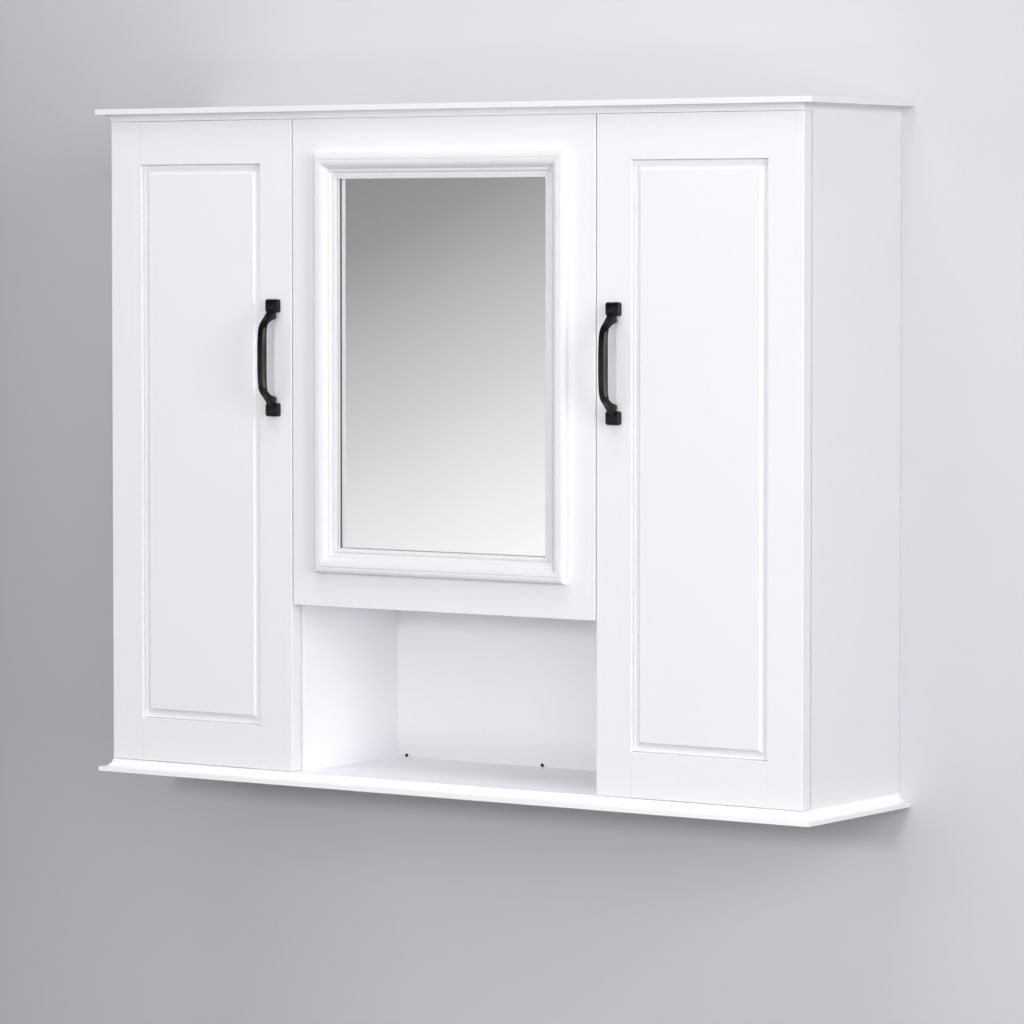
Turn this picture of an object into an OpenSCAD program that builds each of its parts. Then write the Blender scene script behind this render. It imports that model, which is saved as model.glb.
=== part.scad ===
// Three-door wall cabinet: two raised-panel side doors, a framed mirror door
// in the middle and an open shelf below the mirror.
// Origin: centre of the rear face, which lies on the wall. +X right, +Z up,
// -Y towards the person in front of it.

/* [Cabinet] */
// Width over the top board
cab_w = 800; // [770:2:840]
// Height from the underside to the top
cab_h = 638; // [620:2:680]
// Depth from the wall to the front edge of the top and bottom boards
cab_d = 180; // [176:1:200]
// How far the top board stands past each side
side_over = 13; // [12.8:0.1:15]
// How much shorter the bottom board is at each end
foot_in = 1.5; // [0:0.1:2]
// Thickness of the carcass boards
board_t = 12; // [12:0.1:14]
// Clear height of the open shelf
niche_h = 160; // [140:2:190]
// Clear width between the two partitions
mid_w = 338.4; // [320:0.4:350]

/* [Doors] */
// Thickness of every door
door_t = 14; // [13.6:0.1:15]
// Gap between a closed door and the carcass
door_gap = 1.5; // [1.5:0.1:2]
// Width of the stiles of the side doors
stile_w = 36.2; // [34:0.2:44]
// Height of the rails of the side doors
rail_w = 41.4; // [34:0.2:50]
// Depth from the frame face down to the edge of the raised panel
panel_drop = 5.5; // [5:0.1:6]
// Width of the sloping border of the raised panel
bevel_w = 8; // [5:0.5:12]

/* [Mirror frame] */
// Width over the moulding
mould_w = 282; // [270:1:290]
// Height over the moulding
mould_h = 392; // [370:1:400]
// Width of the moulding itself
mould_b = 24; // [22:0.5:28]
// Thickness of the mirror glass
glass_t = 3; // [3:0.5:4]

/* [Handles] */
// Distance between the two handle screws
handle_cc = 96; // [90:1:104]
// How far the grip stands out from the door
handle_out = 23.5; // [20:0.5:26]
// Width of the grip
grip_w = 8.4; // [7:0.1:9]
// Distance from the door's free edge to the handle
handle_in = 20; // [16:0.2:21]
// Height of the handle's middle above the underside
handle_z = 402; // [380:1:430]

/* [Hidden] */
$fn = 48;
hb = cab_w/2 - side_over;              // half width over the side panels
yc = -(cab_d - 24);                    // front edge of the carcass
ydb = yc - door_gap;                   // back face of the doors
ydf = ydb - door_t;                    // front face of the doors
z1 = board_t;                          // inside bottom
z2 = cab_h - board_t;                  // inside top
xs = hb - board_t;                     // inner face of a side panel
xm = mid_w/2;                          // inner face of a partition
xp = xm + board_t;                     // outer face of a partition
zd1 = z1 + 0.4;                        // bottom of the side doors
zd2 = z2 - 0.3;                        // top of the doors
zn = z1 + niche_h;                     // underside of the niche ceiling
zm1 = zn - 1.7;                        // bottom of the mirror door
md = xm + 0.6;                         // half width of the mirror door
sd = xm + 1.6;                         // free edge of a side door
latch_w = stile_w + 0.8;               // stile at the free edge
cove_top = board_t - 5.2;              // height of the cove under the top board's square edge
cove_foot = board_t - 4.2;             // the same over the bottom board's
bt = 3;                                // back panel thickness
reb = 6;                               // rebate for the back panel
hinge_a = 90;                          // hinge from the end of a side door
hinge_b = 75;                          // hinge from the end of the mirror door
hz_side = [zd1 + hinge_a, zd2 - hinge_a];
hz_mid = [zm1 + hinge_b, zd2 - hinge_b];
cup_x = 17.5;                          // cup centre from the door's edge
pinA = [30, 5];                        // hinge arm pin, from the door's back corner
linkB = [13.5, -6];
linkC = [9.2, -4.8];
row_y = [-130, -36];                   // shelf pin rows
side_shelf_z = [z1 + 203, z1 + 400];   // undersides of the side shelves
mid_shelf_z = [zn + board_t + 208];    // underside of the middle shelf
pin_pitch = 32;
cam_in = 24;                           // cam centre from the end of a panel
cam_y = [-128, -30];
dowel_y = [-100, -56];
rail_h = 50;                           // hanging rail height
rail_t = 12;
wall_x = (xs + xp)/2;                  // wall screw position
wall_z = z2 - rail_h/2;
panel_zc = (zd1 + zd2)/2;
mdz = (zm1 + z2 - 1.5)/2;              // middle of the mirror and its moulding
glass_y = ydf + 4;                     // front of the glass
groove = 5;                            // depth of the grooves that hold a panel
er = 1;                                // rounding of the doors' outer edges
pad_w = 14.2;
pad_h = 12.8;
pad_t = 7.4;
e = 0.01;

// ---------- helpers ----------
// heights are worked from the underside and moved to the row's origin here
module up() { translate([0, 0, -cab_h/2]) children(); }
module box(a, b) { translate(a) cube([b[0]-a[0], b[1]-a[1], b[2]-a[2]]); }
module cyl_y(x, y, z, r, l) { translate([x, y, z]) rotate([-90, 0, 0]) cylinder(r = r, h = l); }
module cyl_x(x, y, z, r, l) { translate([x, y, z]) rotate([0, 90, 0]) cylinder(r = r, h = l); }
module cyl_z(x, y, z, r, l) { translate([x, y, z]) cylinder(r = r, h = l); }
module both() { children(); mirror([1, 0, 0]) children(); }

// Cut of a cove: a flat step of width f, then a quarter ellipse g wide and h high
module cove_cut(f, g, h, l) {
  linear_extrude(l) polygon(concat([[-1, -1], [-1, h]], [for (i = [0:14]) [f + g*sin(90*i/14), h*cos(90*i/14)]], [[f + g, -1]]));
}
// A moulded board lying flat, square edge up, rear face on the wall.
// fx and fy are the flat steps at the ends and at the front, h the cove's height.
module moulded(w, over, fx, fy, h) {
  difference() {
    box([-w/2, -cab_d, 0], [w/2, 0, board_t]);
    translate([-w/2 - 1, -cab_d, 0]) rotate([90, 0, 90]) cove_cut(fy, cab_d + ydf - fy, h, w + 2);
    both() translate([-w/2, 1, 0]) rotate([90, 0, 0]) cove_cut(fx, over - fx, h, cab_d + 2);
    // rebate for the back panel
    box([-xs - reb, -bt, -1], [xs + reb, 1, reb]);
  }
}

// Bores in a top or bottom board for bolts and dowels, from its inner face at z = 0 downwards
module board_bores() {
  for (x = [-xs - board_t/2, -xm - board_t/2, xm + board_t/2, xs + board_t/2]) {
    for (y = cam_y) cyl_z(x, y, -1, 2.55, 9);
    for (y = dowel_y) cyl_z(x, y, -1, 3.05, 8.2);
  }
}
// Ends of an upright: bolt and dowel bores, and the cam pocket on the face side
module upright_bores(x, face) {
  for (zz = [z1, z2]) {
    s = zz == z1 ? 1 : -1;
    for (y = cam_y) {
      translate([x, y, zz - (s < 0 ? cam_in : 1)]) cylinder(r = 3.1, h = cam_in + 1);
      cyl_x(face > 0 ? x - board_t/2 + 2.5 : x - board_t/2 - 1, y, zz + s*cam_in, 6.1, board_t - 1.5);
    }
    for (y = dowel_y) translate([x, y, zz - (s < 0 ? 17.4 : 1)]) cylinder(r = 3.05, h = 18.4);
  }
}
function rows(list) = [for (z = list, k = [-1:1]) z - 2.5 + k*pin_pitch];

// ---------- carcass ----------
module top_board() {
  color("#f4f5f6") up() difference() {
    translate([0, 0, z2]) moulded(cab_w, side_over, 6, 1.6, cove_top);
    translate([0, 0, z2]) board_bores();
  }
}
module bottom_board() {
  color("#f4f5f6") up() difference() {
    translate([0, 0, z1]) mirror([0, 0, 1]) moulded(cab_w - 2*foot_in, side_over - foot_in, 0.9, 0.9, cove_foot);
    translate([0, 0, z1]) mirror([0, 0, 1]) board_bores();
  }
}
module side_panel_l() {
  difference() {
    box([-hb, yc, z1], [-xs, 0, z2]);
    box([-xs - reb, -bt, z1 - 1], [-xs + 1, 1, z2 + 1]);
    upright_bores(-xs - board_t/2, 1);
    for (z = rows(side_shelf_z), y = row_y) cyl_x(-xs - 5.2, y, z, 2.55, 6);
    for (z = hz_side, k = [-1, 1]) cyl_x(-hb + board_t - 8.5, ydb + 41, z + 16*k, 1.95, 9);
  }
}
module left_side_panel() { color("#eef0f2") up() side_panel_l(); }
module right_side_panel() { color("#eef0f2") up() mirror([1, 0, 0]) side_panel_l(); }

module partition_l(hinged) {
  difference() {
    box([-xp, yc, z1], [-xm, -bt, z2]);
    upright_bores(-xm - board_t/2, -1);
    for (z = rows(side_shelf_z), y = row_y) cyl_x(-xp - 1, y, z, 2.55, 6.2);
    for (z = rows(mid_shelf_z), y = row_y) cyl_x(-xm - 5.2, y, z, 2.55, 6);
    // ceiling screws, from the side compartment
    for (y = [-120, -40]) {
      cyl_x(-xp - 1, y, zn + board_t/2, 2.15, board_t + 2);
      translate([-xp - e, y, zn + board_t/2]) rotate([0, 90, 0]) cylinder(r1 = 4.15, r2 = 2.15, h = 2.6);
    }
    if (hinged) for (z = hz_mid, k = [-1, 1]) cyl_x(-xm - 8.5, ydb + 41, z + 16*k, 1.95, 9.5);
    nail_bores(nails_up);
  }
}
module left_partition() { color("#eef0f2") up() partition_l(true); }
module right_partition() { color("#eef0f2") up() mirror([1, 0, 0]) partition_l(false); }

module niche_ceiling() {
  color("#eef0f2") up() difference() {
    box([-xm, yc, zn], [xm, -bt, zn + board_t]);
    for (y = [-120, -40]) both() cyl_x(-xm - 1, y, zn + board_t/2, 1.75, 29);
    nail_bores(nails_ceil);
  }
}
module niche_ceiling_screws() {
  color("silver") up() both() for (y = [-120, -40]) translate([-xp, y, zn + board_t/2]) rotate([0, 90, 0]) difference() {
    union() {
      cylinder(r1 = 4, r2 = 2, h = 2.5);
      translate([0, 0, 2.5 - e]) cylinder(r = 1.7, h = 34);
      translate([0, 0, 36.4]) cylinder(r1 = 1.7, r2 = 0.3, h = 3);
    }
    translate([0, 0, -0.1]) cylinder(r = 1.3, h = 1.6, $fn = 6);
  }
}
// nail places [x, z]: uprights, hanging rails, niche ceiling
nails_up = [for (k = [0:5], s = [-1, 1]) [s*(xm + board_t/2), z1 + 24 + k*(z2 - z1 - 100)/5]];
nails_rail = [for (k = [-1, 1], s = [-1, 1]) [s*(wall_x + 40*k), wall_z]];
nails_ceil = [for (x = [-120, 0, 120]) [x, zn + board_t/2]];
module nail_bores(list) { for (n = list) cyl_y(n[0], -14.2, n[1], 0.75, 15); }
module back_panel() {
  color("#e9e7e3") up() difference() {
    box([-xs - reb + 0.3, -bt, z1 - reb + 0.3], [xs + reb - 0.3, 0, z2 + reb - 0.3]);
    both() cyl_y(wall_x, -bt - 1, wall_z, 2.75, bt + 2);
    nail_bores(concat(nails_up, nails_rail, nails_ceil));
    for (n = concat(nails_up, nails_rail, nails_ceil)) cyl_y(n[0], -0.55, n[1], 1.9, 1);
  }
}
module hanging_rails() {
  color("#eef0f2") up() both() difference() {
    box([xp + 0.1, -bt - rail_t, z2 - rail_h], [xs - 0.1, -bt, z2]);
    cyl_y(wall_x, -bt - rail_t - 1, wall_z, 2.75, rail_t + 2);
    translate([wall_x, -bt - rail_t - e, wall_z]) rotate([-90, 0, 0]) cylinder(r1 = 5.5, r2 = 2.75, h = 3);
    nail_bores([for (k = [-1, 1]) [wall_x + 40*k, wall_z]]);
  }
}
module shelf(x0, x1, z) { box([x0 + 0.6, yc + 8, z], [x1 - 0.6, -bt - 0.8, z + board_t]); }
module left_shelves() { color("#f2f3f4") up() for (z = side_shelf_z) shelf(-xs, -xp, z); }
module right_shelves() { color("#f2f3f4") up() for (z = side_shelf_z) shelf(xp, xs, z); }
module middle_shelf() { color("#f2f3f4") up() for (z = mid_shelf_z) shelf(-xm, xm, z); }
// peg with a collar against the board
module shelf_pin(x, y, z) {
  translate([x, y, z]) rotate([0, 90, 0]) {
    translate([0, 0, -5]) cylinder(r = 2.5, h = 13);
    cylinder(r = 3.8, h = 1.2);
  }
}
module shelf_pins() {
  color("silver") up() {
    for (y = row_y) both() {
      for (z = side_shelf_z) {
        difference() { shelf_pin(-xs, y, z - 2.5); box([-xs + 0, y - 5, z], [-xs + 9, y + 5, z + 9]); }
        difference() { translate([-xp, 0, 0]) mirror([1, 0, 0]) shelf_pin(0, y, z - 2.5); box([-xp - 9, y - 5, z], [-xp, y + 5, z + 9]); }
      }
      for (z = mid_shelf_z) difference() { shelf_pin(-xm, y, z - 2.5); box([-xm, y - 5, z], [-xm + 9, y + 5, z + 9]); }
    }
  }
}

// ---------- knock-down fittings ----------
module cam_locks() {
  color("#b9bcc0") up() both() for (z = [z1 + cam_in, z2 - cam_in], y = cam_y) {
    cam_disc(-xs, y, z, 1);
    cam_disc(-xp, y, z, -1);
  }
}
// drum seen from inside the compartment: closed face, slot for the bolt head behind
module cam_disc(xface, y, z, s) {
  translate([xface, y, z]) rotate([0, s > 0 ? -90 : 90, 0]) difference() {
    cylinder(r = 5.9, h = 9.2);
    translate([0, 0, 2.2]) cylinder(r = 3.5, h = 8);
    translate([-7, -3.3, 2.2]) cube([14, 6.6, 8]);
    translate([0, 0, -1]) for (a = [0, 90]) rotate(a) translate([-2.8, -0.6, 0]) cube([5.6, 1.2, 2.2]);
  }
}
module cam_bolts() {
  color("#c8cacd") up() for (x = [-xs - board_t/2, -xm - board_t/2, xm + board_t/2, xs + board_t/2], y = cam_y) {
    bolt(x, y, z1, 1);
    bolt(x, y, z2, -1);
  }
}
module bolt(x, y, z, s) {
  translate([x, y, z]) mirror([0, 0, s > 0 ? 0 : 1]) {
    translate([0, 0, -7.5]) cylinder(r = 2.5, h = 7.5);
    cylinder(r = 3, h = 2);
    translate([0, 0, 2]) cylinder(r = 2.6, h = 15);
    translate([0, 0, 17]) cylinder(r = 1.4, h = 4.6);
    translate([0, 0, 21.6]) cylinder(r = 2.6, h = 2.8);
  }
}
module wood_dowels() {
  color("#c9a46c") up() for (x = [-xs - board_t/2, -xm - board_t/2, xm + board_t/2, xs + board_t/2], y = dowel_y) {
    translate([x, y, z1 - 7]) cylinder(r = 3, h = 24);
    translate([x, y, z2 - 17]) cylinder(r = 3, h = 24);
  }
}
module nail(x, z) {
  cyl_y(x, -0.5, z, 1.8, 0.5);
  cyl_y(x, -14, z, 0.7, 13.6);
}
module back_panel_nails() {
  color("#8d9094") up() {
    // through the back panel into the uprights, the hanging rails and the niche ceiling
    for (n = concat(nails_up, nails_rail, nails_ceil)) nail(n[0], n[1]);
  }
}
module niche_back_pins() {
  color("#2b2b2b") up() for (x = [-xm + 11, 0, xm - 11]) cyl_y(x, -bt - 1.6, z1 + 1.7, 1.6, 1.6);
}

// ---------- concealed hinges ----------
// local frame: x inboard from the door's edge, y from the door's back face to the wall
module at_l(z) { translate([-hb, ydb, z]) children(); }
module at_m(z) { translate([-md, ydb, z]) children(); }
module hinge_plate(xf) {
  difference() {
    union() {
      box([xf, 24, -22], [14, 58, 22]);
      box([13.9, 28, -7], [15.5, 54, 7]);
    }
    for (k = [-1, 1]) cyl_x(xf - 1, 41, 16*k, 2.05, 20);
  }
}
module hinge_arm() {
  difference() {
    union() {
      translate([0, 0, -7]) linear_extrude(14) polygon([[15.5, 26], [15.5, 56], [25, 56], [27, 50], [28, 20], [33, 7.5], [33.3, 5], [26.7, 5], [26.5, 7.5], [20.5, 16], [17, 20]]);
      translate([pinA[0], pinA[1], -7]) cylinder(r = 3.3, h = 14);
    }
    // fork for the link
    translate([pinA[0], pinA[1], -4.2]) cylinder(r = 6.2, h = 8.4);
    box([18, -4, -4.2], [40, 5, 4.2]);
    translate([0, 0, -4.2]) linear_extrude(8.4) polygon([[24, 4], [36, 4], [36, 9], [24, 9]]);
    // adjusting screw recess
    cyl_x(22.5, 44, 0, 3, 8);
  }
  translate([pinA[0], pinA[1], -7]) cylinder(r = 1.5, h = 14);
}
module hinge_plates() { color("silver") up() { both() for (z = hz_side) at_l(z) hinge_plate(board_t); for (z = hz_mid) at_m(z) hinge_plate(md - xm); } }
module hinge_arms() { color("#c9ccd0") up() { both() for (z = hz_side) at_l(z) hinge_arm(); for (z = hz_mid) at_m(z) hinge_arm(); } }
module plate_screw(xf) {
  for (k = [-1, 1]) translate([xf - 8, 41, 16*k]) rotate([0, 90, 0]) difference() {
    union() {
      cylinder(r = 1.9, h = 14 - xf + 8);
      translate([0, 0, 14 - xf + 8]) cylinder(r = 3.6, h = 1.8);
    }
    translate([0, 0, 14 - xf + 8.8]) for (a = [0, 90]) rotate(a) translate([-2, -0.45, 0]) cube([4, 0.9, 2]);
  }
}
module hinge_plate_screws() { color("silver") up() { both() for (z = hz_side) at_l(z) plate_screw(board_t); for (z = hz_mid) at_m(z) plate_screw(md - xm); } }
module cup() {
  difference() {
    union() {
      cyl_y(cup_x, -10, 0, 13, 10);
      cyl_y(cup_x, 0, 0, 13.6, 0.8);
      box([cup_x + 0.5, 0, -23], [cup_x + 10, 0.8, 23]);
    }
    cyl_y(cup_x, -9, 0, 12.2, 12);
    for (k = [-1, 1]) cyl_y(cup_x + 5, -1, 19*k, 1.85, 3);
  }
}
module cup_screws() {
  for (k = [-1, 1]) translate([cup_x + 5, 0.8, 19*k]) rotate([90, 0, 0]) difference() {
    union() {
      translate([0, 0, -1.6]) cylinder(r = 3.2, h = 1.6);
      cylinder(r = 1.7, h = 9);
    }
    translate([0, 0, -1.7]) for (a = [0, 90]) rotate(a) translate([-1.9, -0.4, 0]) cube([3.8, 0.8, 1.1]);
  }
}
module cup_bores() {
  cyl_y(cup_x, -10.1, 0, 13.1, 12);
  for (k = [-1, 1]) cyl_y(cup_x + 5, -8.4, 19*k, 1.75, 9);
}
module hinge_link() {
  translate([0, 0, -3]) linear_extrude(6) difference() {
    union() {
      translate(pinA) circle(r = 3.1);
      translate(linkC) circle(r = 1.4);
      translate(linkB) circle(r = 1.1);
      bar(pinA, linkB, 1.1);
      bar(linkB, linkC, 1.1);
    }
    translate(pinA) circle(r = 1.6);
  }
}
module bar(a, b, r) {
  d = b - a; l = norm(d);
  translate(a) rotate(atan2(d[1], d[0])) translate([0, -r]) square([l, 2*r]);
}

// ---------- side doors (left one drawn, right one mirrored) ----------
// upright frame member: outer edges rounded, groove on the inner edge
module stile(w) {
  linear_extrude(zd2 - zd1) difference() {
    union() {
      translate([er, 0]) square([w - er, door_t]);
      translate([0, er]) square([3, door_t - 2*er]);
      for (y = [er, door_t - er]) translate([er, y]) circle(r = er);
    }
    translate([w - groove, panel_drop]) square([groove + 1, 4]);
  }
}
module handle_bores() {
  for (k = [-1, 1]) cyl_y(-sd - handle_in, ydf - 1, handle_z + k*handle_cc/2, 2.2, door_t + 2);
}
module hinge_stile() {
  difference() {
    translate([-hb, ydf, zd1]) stile(stile_w);
    for (z = hz_side) at_l(z) cup_bores();
  }
}
module latch_stile() {
  difference() {
    translate([-sd, ydf, zd1]) mirror([1, 0, 0]) stile(latch_w);
    handle_bores();
  }
}
// rail between the stiles, groove towards the panel, stub tenons in the stiles
module rail(z, s) {
  x0 = -hb + stile_w; x1 = -sd - latch_w;
  difference() {
    union() {
      box([x0, ydf, min(z, z + s*rail_w)], [x1, ydb, max(z, z + s*rail_w)]);
      box([x0 - groove + 0.2, ydf + panel_drop + 0.05, min(z, z + s*(rail_w - groove - 0.2))], [x1 + groove - 0.2, ydf + panel_drop + 3.95, max(z, z + s*(rail_w - groove - 0.2))]);
    }
    box([x0 - 7, ydf + panel_drop, min(z + s*(rail_w - groove), z + s*(rail_w + 1))], [x1 + 7, ydf + panel_drop + 4, max(z + s*(rail_w - groove), z + s*(rail_w + 1))]);
  }
}
function rise(i) = [bevel_w*(0.36 + 0.79*sin(10*i)/sin(50)), panel_drop - 1.55 - 2.93*(1 - cos(10*i))/(1 - cos(50))];
function bev(a, b) = concat([[a, panel_drop + 0.05], [a + 0.3, panel_drop - 1.55]], [for (i = [0:5]) [a + rise(i)[0], rise(i)[1]]], [[a + bevel_w*1.2, 1]],
  [[b - bevel_w*1.2, 1]], [for (i = [5:-1:0]) [b - rise(i)[0], rise(i)[1]]], [[b - 0.3, panel_drop - 1.55], [b, panel_drop + 0.05]]);
module panel() {
  x0 = -hb + stile_w; x1 = -sd - latch_w; za = zd1 + rail_w; zb = zd2 - rail_w;
  translate([0, ydf, 0]) {
    box([x0 - groove + 0.4, panel_drop + 0.05, za - groove + 0.4], [x1 + groove - 0.4, panel_drop + 3.95, zb + groove - 0.4]);
    box([x0 + 0.2, panel_drop + 3.9, za + 0.2], [x1 - 0.2, door_t - 1, zb - 0.2]);
    intersection() {
      translate([0, 0, za]) linear_extrude(zb - za) polygon(bev(x0 + 0.3, x1 - 0.3));
      translate([x0, 0, 0]) rotate([90, 0, 90]) linear_extrude(x1 - x0) polygon([for (p = bev(za + 0.3, zb - 0.3)) [p[1], p[0]]]);
    }
  }
}
module left_door_hinge_stile() { color("#f3f4f6") up() hinge_stile(); }
module left_door_latch_stile() { color("#f3f4f6") up() latch_stile(); }
module left_door_top_rail() { color("#f3f4f6") up() rail(zd2, -1); }
module left_door_bottom_rail() { color("#f3f4f6") up() rail(zd1, 1); }
module left_door_panel() { color("#f3f4f6") up() panel(); }
module right_door_hinge_stile() { color("#f3f4f6") up() mirror([1, 0, 0]) hinge_stile(); }
module right_door_latch_stile() { color("#f3f4f6") up() mirror([1, 0, 0]) latch_stile(); }
module right_door_top_rail() { color("#f3f4f6") up() mirror([1, 0, 0]) rail(zd2, -1); }
module right_door_bottom_rail() { color("#f3f4f6") up() mirror([1, 0, 0]) rail(zd1, 1); }
module right_door_panel() { color("#f3f4f6") up() mirror([1, 0, 0]) panel(); }

// ---------- handles ----------
// side outline of one half of the bow: [along, out], from the middle to the foot
half_out = [[0, handle_out], [12, handle_out - 0.1], [22, handle_out - 0.6], [28, handle_out - 1.5], [32, handle_out - 3.2], [35.5, handle_out - 6.4], [39.5, handle_out - 11], [43.5, handle_out - 14.6], [47, 7], [50, 6], [50, 1]];
half_in = [[43.5, 1], [43.5, 2.8], [36.8, 2.8], [36.2, 4], [35.6, 9], [34.2, handle_out - 9.6], [32, handle_out - 7], [29, handle_out - 5.9], [22, handle_out - 5.3], [12, handle_out - 5.2], [0, handle_out - 5.2]];
module pad_layer(w, h, t) {
  linear_extrude(t) union() {
    square([w - 5, h], center = true);
    square([w, h - 5], center = true);
    for (i = [-1, 1], j = [-1, 1]) translate([i*(w/2 - 2.5), j*(h/2 - 2.5)]) circle(r = 2.5);
  }
}
module foot_pad() {
  // square foot with rounded corners, stepped in towards its face
  rotate([90, 0, 0]) {
    pad_layer(pad_w, pad_h, pad_t - 2);
    translate([0, 0, pad_t - 2.1]) pad_layer(pad_w - 0.9, pad_h - 0.9, 1.2);
    translate([0, 0, pad_t - 1]) pad_layer(pad_w - 2, pad_h - 2, 1);
  }
}
module handle() {
  k = handle_cc/96;
  translate([-sd - handle_in, ydf, handle_z]) difference() {
    union() {
      for (s = [-1, 1]) {
        translate([0, 0, s*(handle_cc/2 + 0.8)]) foot_pad();
        mirror([0, 0, s > 0 ? 0 : 1]) translate([-grip_w/2, 0, 0]) rotate([0, 90, 0]) mirror([1, 0, 0])
          linear_extrude(grip_w) polygon([for (p = concat(half_out, half_in)) [p[0]*k, -p[1]]]);
      }
    }
    for (s = [-1, 1]) cyl_y(0, -5.8, s*handle_cc/2, 2.05, 7);
  }
}
module handle_screws_l() {
  for (s = [-1, 1]) translate([-sd - handle_in, ydb, handle_z + s*handle_cc/2]) rotate([90, 0, 0]) difference() {
    union() {
      cylinder(r = 2, h = door_t + 5.2);
      translate([0, 0, -2.4]) cylinder(r = 4, h = 2.4);
    }
    translate([0, 0, -2.5]) for (a = [0, 90]) rotate(a) translate([-2.4, -0.5, 0]) cube([4.8, 1, 1.6]);
  }
}
module left_handle() { color("#161616") up() handle(); }
module right_handle() { color("#161616") up() mirror([1, 0, 0]) handle(); }
module left_handle_screws() { color("silver") up() handle_screws_l(); }
module right_handle_screws() { color("silver") up() mirror([1, 0, 0]) handle_screws_l(); }
module left_hinge_cups() { color("silver") up() for (z = hz_side) at_l(z) cup(); }
module right_hinge_cups() { color("silver") up() mirror([1, 0, 0]) for (z = hz_side) at_l(z) cup(); }
module left_hinge_cup_screws() { color("silver") up() for (z = hz_side) at_l(z) cup_screws(); }
module right_hinge_cup_screws() { color("silver") up() mirror([1, 0, 0]) for (z = hz_side) at_l(z) cup_screws(); }
module left_hinge_links() { color("#b8bbc0") up() for (z = hz_side) at_l(z) hinge_link(); }
module right_hinge_links() { color("#b8bbc0") up() mirror([1, 0, 0]) for (z = hz_side) at_l(z) hinge_link(); }
module mirror_hinge_cups() { color("silver") up() for (z = hz_mid) at_m(z) cup(); }
module mirror_hinge_cup_screws() { color("silver") up() for (z = hz_mid) at_m(z) cup_screws(); }
module mirror_hinge_links() { color("#b8bbc0") up() for (z = hz_mid) at_m(z) hinge_link(); }

// ---------- magnetic catches and bumpers ----------
catch_x = sd + 42;                     // middle of a side catch
module catch_box(x) {
  difference() {
    union() {
      box([x - 12, yc + 0.2, z2 - 14], [x + 12, yc + 16, z2]);
      box([x - 22, yc + 4, z2 - 2.4], [x + 22, yc + 16, z2]);
    }
    box([x - 9, yc, z2 - 12.5], [x + 9, yc + 12, z2 - 5]);
  }
}
module catch_housings() { color("#f7f7f5") up() { both() catch_box(-catch_x); catch_box(110); } }
module catch_magnets() { color("#5a5d61") up() for (x = [-catch_x, catch_x, 110]) box([x - 8.9, yc + 0.3, z2 - 12.4], [x + 8.9, yc + 11.9, z2 - 5.1]); }
module strike(x) {
  difference() {
    box([x - 9, ydb, z2 - 13.5], [x + 9, ydb + 1, z2 - 4]);
    cyl_y(x, ydb - 1, z2 - 8.8, 1.8, 3);
  }
}
module left_strike_plate() { color("silver") up() strike(-catch_x); }
module right_strike_plate() { color("silver") up() strike(catch_x); }
module mirror_strike_plate() { color("silver") up() strike(110); }
module door_bumpers() {
  color("#e6e8ea") up() {
    both() for (z = [z1 + 22, z2 - 30]) cyl_y(-xp + 4.8, yc - 1.2, z, 4, 1.2);
    both() cyl_y(-xm + 26, yc - 1.2, zn + board_t/2, 4, 1.2);
  }
}

// ---------- mirror door ----------
ow = mould_w/2 - mould_b + 3.9;        // half width of the hole in the board
oh = mould_h/2 - mould_b + 3.9;
// turn buttons on the back of the board: [x, z, turn]
clip_places = concat([for (z = [-110, 110], s = [-1, 1]) [s*(ow + 6.5), mdz + z, s < 0 ? 0 : 180]],
  [for (x = [-60, 60], s = [-1, 1]) [x, mdz + s*(oh + 6.5), s*90]]);
module mirror_door_board() {
  color("#f3f4f6") up() difference() {
    union() {
      translate([-md + er, ydf, zm1]) cube([2*md - 2*er, door_t, zd2 - zm1]);
      translate([-md, ydf + er, zm1]) cube([2*md, door_t - 2*er, zd2 - zm1]);
      for (x = [-md + er, md - er], y = [ydf + er, ydb - er]) cyl_z(x, y, zm1, er, zd2 - zm1);
    }
    box([-ow, ydf - 1, mdz - oh], [ow, ydb + 1, mdz + oh]);
    for (z = hz_mid) at_m(z) cup_bores();
    for (p = clip_places) cyl_y(p[0], ydb - 7.3, p[1], 1.45, 8);
  }
}
// section of the moulding: [from the outer edge inwards, out from the door]
function arc(cx, cy, r, a0, a1, n) = [for (i = [0:n]) let(a = a0 + (a1 - a0)*i/n) [cx + r*cos(a), cy + r*sin(a)]];
sect = concat([[0, 0], [0, 4]], arc(4.2, 4.2, 4.2, 175, 95, 8), [[6, 8.5], [6.2, 7.9]],
  [for (i = [0:10]) let(t = i/10) [6.6 + 8*t, 8.6 - 0.4*t - 4.0*t*t*t]],
  [[14.8, 3.9], [17.2, 3.9], [17.5, 3.2]], arc(19.4, 3.3, 1.5, 190, 330, 6), [[21.2, 2.5], [mould_b, 2.3],
  [mould_b, -3.95], [mould_b - 3.6, -3.95], [mould_b - 3.6, 0]]);
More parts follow.
